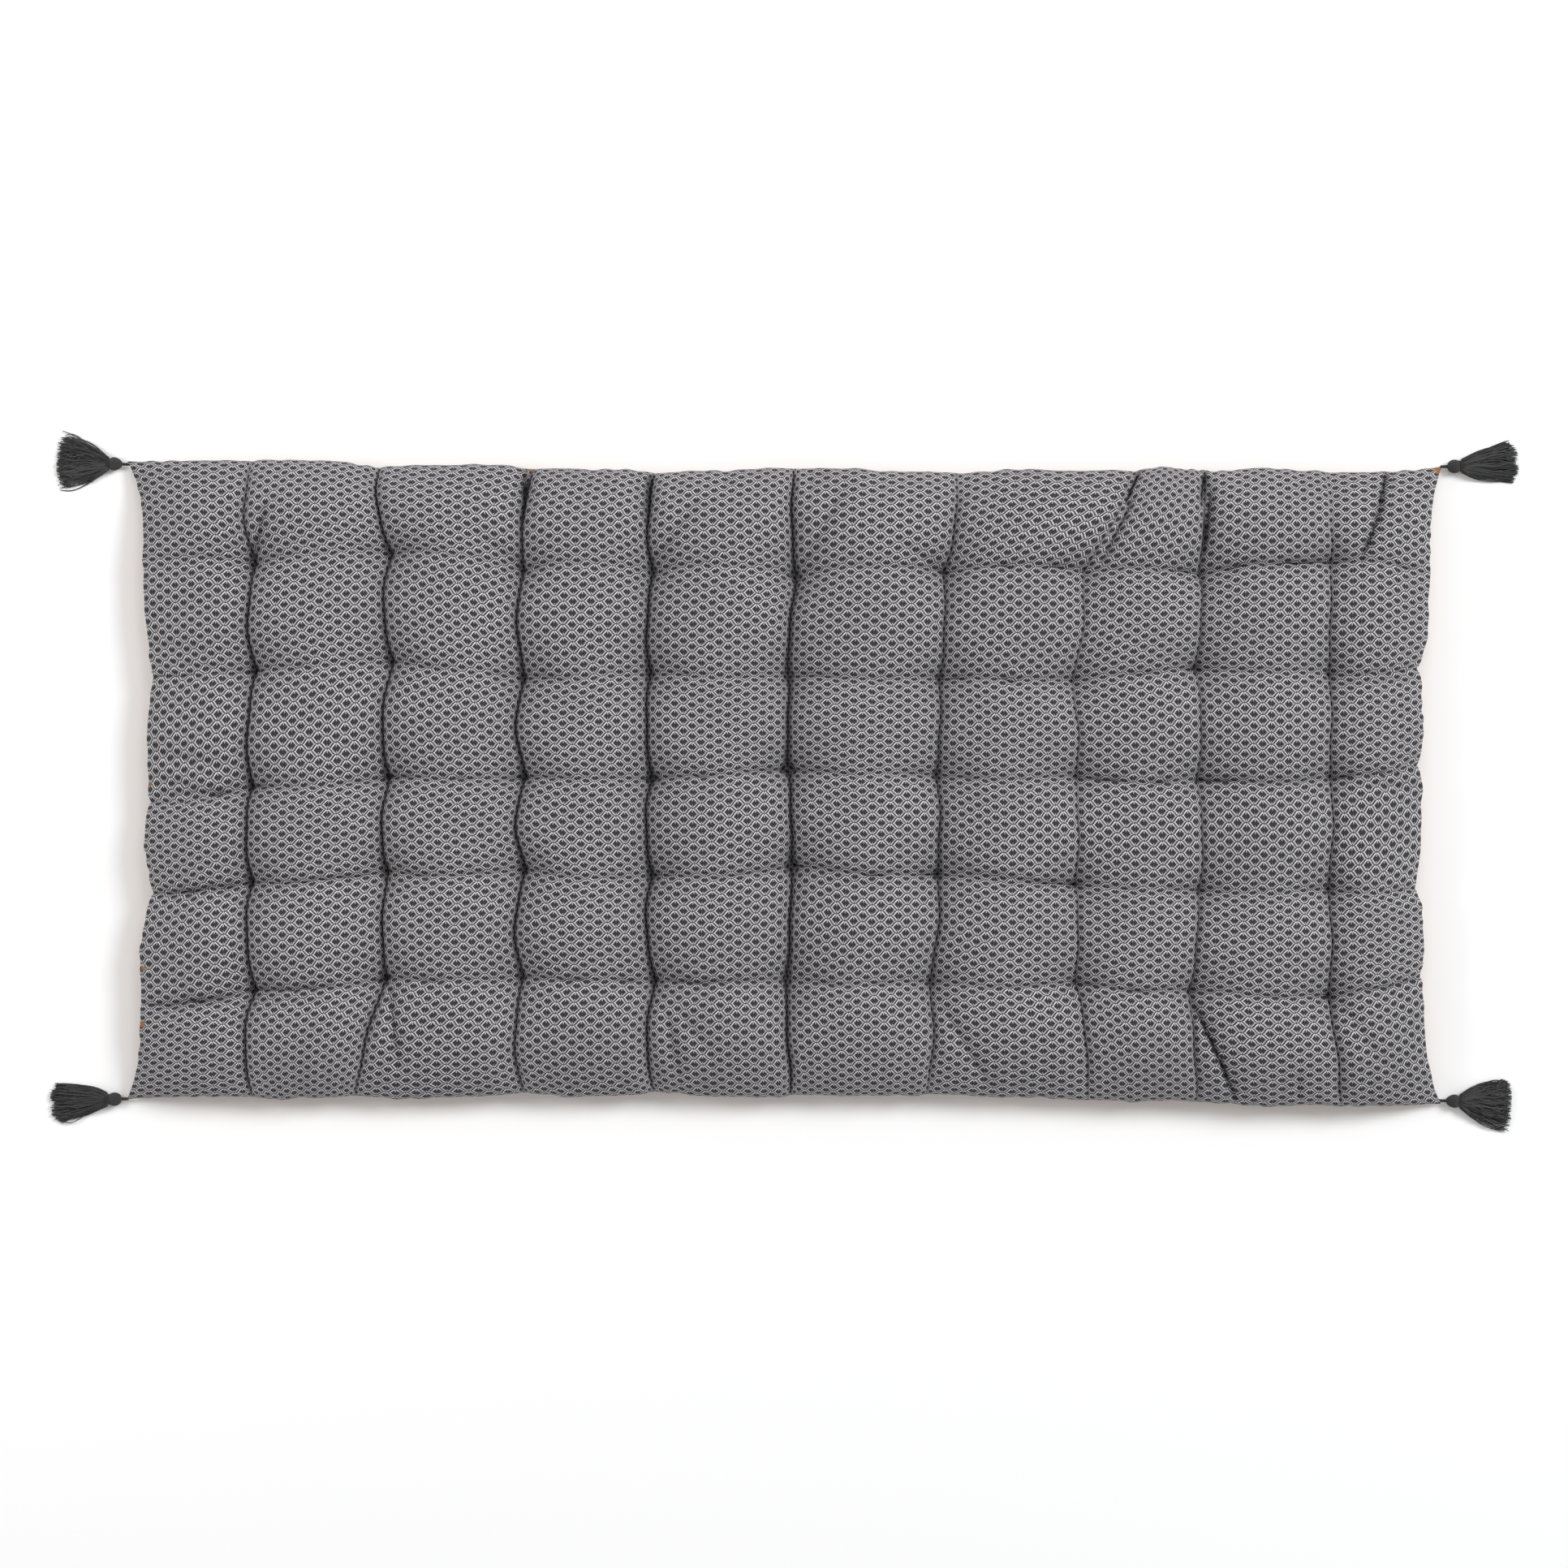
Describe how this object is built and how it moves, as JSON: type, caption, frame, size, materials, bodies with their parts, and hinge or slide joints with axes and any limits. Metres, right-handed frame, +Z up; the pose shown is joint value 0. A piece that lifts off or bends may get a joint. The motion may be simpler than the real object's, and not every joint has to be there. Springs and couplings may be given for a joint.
{
  "type": "floor mattress",
  "caption": "Filled rectangular floor mattress in lattice-woven cloth, drawn into puffs by crossing sewn folds, with a knife-edge seam and a yarn tassel at each drawn-out corner.",
  "frame": {"origin": "on the floor, under the middle of the mattress and its tassels", "axes": "+X along the length, +Y across the width towards the head seam, +Z up out of the front"},
  "size_m": [1.3602, 0.6412, 0.0679],
  "materials": {
    "lattice_cloth": "woven cotton, matt",
    "charcoal_yarn": "loose yarn, matt"
  },
  "bodies": {
    "root": {"mattress": "lattice_cloth", "cord_head_left": "charcoal_yarn", "tassel_head_left": "charcoal_yarn", "wrap_head_left": "charcoal_yarn", "cord_head_right": "charcoal_yarn", "tassel_head_right": "charcoal_yarn", "wrap_head_right": "charcoal_yarn", "cord_foot_left": "charcoal_yarn", "tassel_foot_left": "charcoal_yarn", "wrap_foot_left": "charcoal_yarn", "cord_foot_right": "charcoal_yarn", "tassel_foot_right": "charcoal_yarn", "wrap_foot_right": "charcoal_yarn"}
  },
  "joints": []
}
